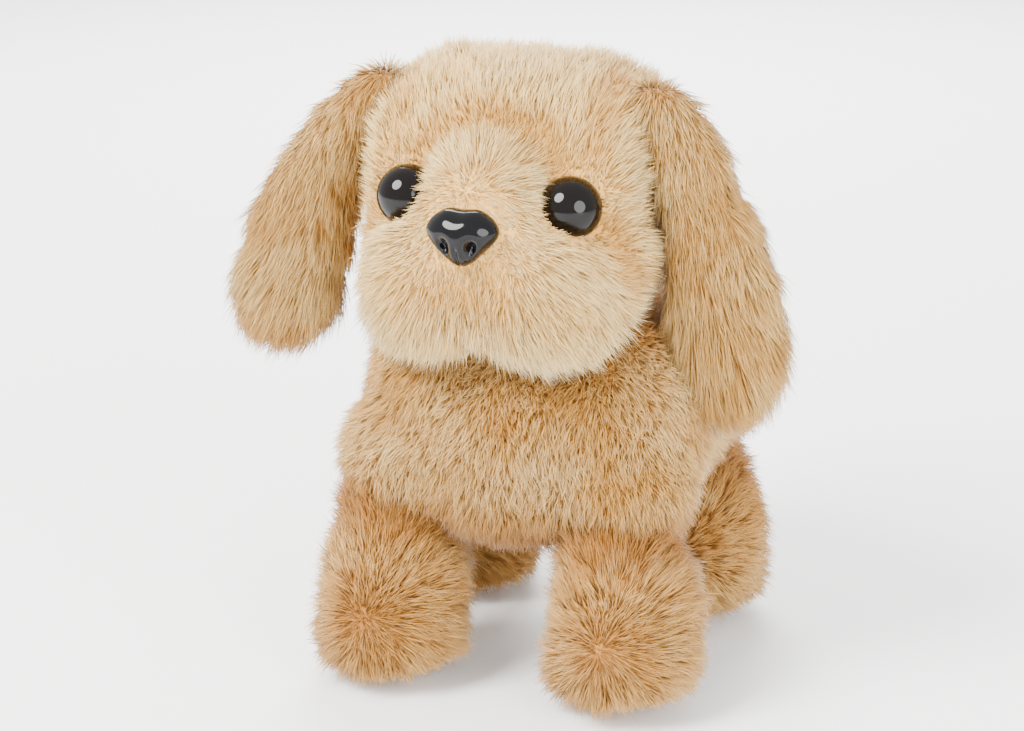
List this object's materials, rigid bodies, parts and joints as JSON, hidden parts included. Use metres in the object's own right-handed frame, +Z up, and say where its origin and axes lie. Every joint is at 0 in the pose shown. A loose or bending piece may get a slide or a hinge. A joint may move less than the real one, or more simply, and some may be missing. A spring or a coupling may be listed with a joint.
{
  "type": "interactive plush puppy",
  "caption": "Walking plush puppy: furry skin over a geared battery chassis, with swinging legs, nodding head, floppy ears and wagging tail.",
  "frame": {"origin": "on the floor under the middle of the puppy's bounding box", "axes": "+Z up, the puppy faces -Y, +X towards its left side"},
  "size_m": [0.1404, 0.1617, 0.158],
  "materials": {
    "plush": "long pile plush fur, golden cream",
    "plush_ear": "long pile plush fur, darker tan",
    "housing_plastic": "moulded, fine grain",
    "frame_plastic": "moulded, satin",
    "gear_plastic": "natural acetal, satin",
    "eye_gloss": "domed high gloss black",
    "nose_gloss": "moulded gloss black",
    "black_plastic": "moulded, matte",
    "switch_red": "moulded, satin",
    "steel": "zinc plated, satin",
    "cell_sleeve": "printed film sleeve, plain",
    "board_green": "solder mask, satin"
  },
  "bodies": {
    "body": {"torso_plush": "plush", "housing_left": "housing_plastic", "housing_right": "housing_plastic", "housing_screw_1": "steel", "housing_screw_2": "steel", "housing_screw_3": "steel", "housing_screw_4": "steel", "battery_box": "frame_plastic", "battery_1": "cell_sleeve", "battery_2": "cell_sleeve", "contact_spring": "steel", "contact_plate": "steel", "switch_body": "black_plastic", "motor_can": "steel", "motor_endcap": "black_plastic", "gear_axle_1": "steel", "gear_axle_2": "steel", "circuit_board": "board_green", "speaker": "black_plastic", "neck_post": "frame_plastic", "neck_pin": "steel", "tail_pin": "steel", "leg_screw_front_left": "steel", "leg_screw_rear_left": "steel", "leg_screw_front_right": "steel", "leg_screw_rear_right": "steel"},
    "leg_front_left": {"leg_bar_front_left": "frame_plastic", "leg_plush_front_left": "plush"},
    "leg_rear_left": {"leg_bar_rear_left": "frame_plastic", "leg_plush_rear_left": "plush"},
    "leg_front_right": {"leg_bar_front_right": "frame_plastic", "leg_plush_front_right": "plush"},
    "leg_rear_right": {"leg_bar_rear_right": "frame_plastic", "leg_plush_rear_right": "plush"},
    "link_left": {"link_left": "frame_plastic"},
    "link_right": {"link_right": "frame_plastic"},
    "crank": {"crank_gear": "gear_plastic", "crank_shaft": "steel", "crank_disc_left": "frame_plastic", "crank_disc_right": "frame_plastic"},
    "reduction_2": {"compound_gear_2": "gear_plastic"},
    "reduction_1": {"compound_gear_1": "gear_plastic"},
    "rotor": {"motor_pinion": "gear_plastic"},
    "head": {"head_skull": "housing_plastic", "head_plush": "plush", "nose": "nose_gloss", "eye_left": "eye_gloss", "eye_right": "eye_gloss", "eye_washer_left": "gear_plastic", "eye_washer_right": "gear_plastic"},
    "ear_left": {"ear_left": "plush_ear"},
    "ear_right": {"ear_right": "plush_ear"},
    "tail": {"tail_lever": "frame_plastic", "tail_plush": "plush"},
    "battery_door": {"battery_door": "frame_plastic", "battery_door_screw": "steel"},
    "belly_flap": {"belly_flap": "plush"},
    "switch_knob": {"switch_knob": "switch_red"}
  },
  "joints": [
    {"name": "leg_front_left_swing", "type": "hinge", "parent": "body", "child": "leg_front_left", "pos_m": [0.0295, -0.047, 0.062], "axis": [1, 0, 0], "range_deg": [-12, 12]},
    {"name": "leg_rear_left_swing", "type": "hinge", "parent": "body", "child": "leg_rear_left", "pos_m": [0.0295, 0.015, 0.062], "axis": [1, 0, 0], "range_deg": [-12, 12]},
    {"name": "leg_front_right_swing", "type": "hinge", "parent": "body", "child": "leg_front_right", "pos_m": [-0.0295, -0.047, 0.062], "axis": [1, 0, 0], "range_deg": [-12, 12]},
    {"name": "leg_rear_right_swing", "type": "hinge", "parent": "body", "child": "leg_rear_right", "pos_m": [-0.0295, 0.015, 0.062], "axis": [1, 0, 0], "range_deg": [-12, 12]},
    {"name": "link_left_pin", "type": "hinge", "parent": "leg_front_left", "child": "link_left", "pos_m": [0.02985, -0.047, 0.074], "axis": [1, 0, 0], "range_deg": [-12, 12]},
    {"name": "link_right_pin", "type": "hinge", "parent": "leg_front_right", "child": "link_right", "pos_m": [-0.02985, -0.047, 0.074], "axis": [1, 0, 0], "range_deg": [-12, 12]},
    {"name": "crank_spin", "type": "hinge", "parent": "body", "child": "crank", "pos_m": [0, -0.008, 0.0696], "axis": [1, 0, 0], "continuous": true},
    {"name": "reduction_2_spin", "type": "hinge", "parent": "body", "child": "reduction_2", "pos_m": [0, -0.018, 0.0696], "axis": [1, 0, 0], "continuous": true},
    {"name": "reduction_1_spin", "type": "hinge", "parent": "body", "child": "reduction_1", "pos_m": [0, -0.028, 0.0696], "axis": [1, 0, 0], "continuous": true},
    {"name": "rotor_spin", "type": "hinge", "parent": "body", "child": "rotor", "pos_m": [0, -0.038, 0.0696], "axis": [1, 0, 0], "continuous": true},
    {"name": "head_nod", "type": "hinge", "parent": "body", "child": "head", "pos_m": [0, -0.036, 0.106], "axis": [1, 0, 0], "range_deg": [-6, 6]},
    {"name": "ear_left_flop", "type": "hinge", "parent": "head", "child": "ear_left", "pos_m": [0.0335, -0.036, 0.147], "axis": [0, -1, 0], "range_deg": [0, 60]},
    {"name": "ear_right_flop", "type": "hinge", "parent": "head", "child": "ear_right", "pos_m": [-0.0335, -0.036, 0.147], "axis": [0, 1, 0], "range_deg": [0, 60]},
    {"name": "tail_wag", "type": "hinge", "parent": "body", "child": "tail", "pos_m": [0, 0.0245, 0.075], "axis": [0, 0, 1], "range_deg": [-25, 25]},
    {"name": "battery_door_slide", "type": "slide", "parent": "body", "child": "battery_door", "axis": [0, -1, 0], "range_m": [0, 0.006]},
    {"name": "belly_flap_hinge", "type": "hinge", "parent": "body", "child": "belly_flap", "pos_m": [0, 0.014, 0.0407], "axis": [1, 0, 0], "range_deg": [0, 60]},
    {"name": "switch_slide", "type": "slide", "parent": "body", "child": "switch_knob", "axis": [0, 1, 0], "range_m": [0, 0.003]}
  ],
  "couplings": [
    {"joint": "leg_rear_left_swing", "follows": "leg_front_left_swing", "ratio": 1},
    {"joint": "leg_front_right_swing", "follows": "leg_front_left_swing", "ratio": -1},
    {"joint": "leg_rear_right_swing", "follows": "leg_front_left_swing", "ratio": -1},
    {"joint": "link_left_pin", "follows": "leg_front_left_swing", "ratio": -1},
    {"joint": "link_right_pin", "follows": "leg_front_left_swing", "ratio": 1},
    {"joint": "reduction_2_spin", "follows": "crank_spin", "ratio": -4},
    {"joint": "reduction_1_spin", "follows": "crank_spin", "ratio": 16},
    {"joint": "rotor_spin", "follows": "crank_spin", "ratio": -64}
  ]
}
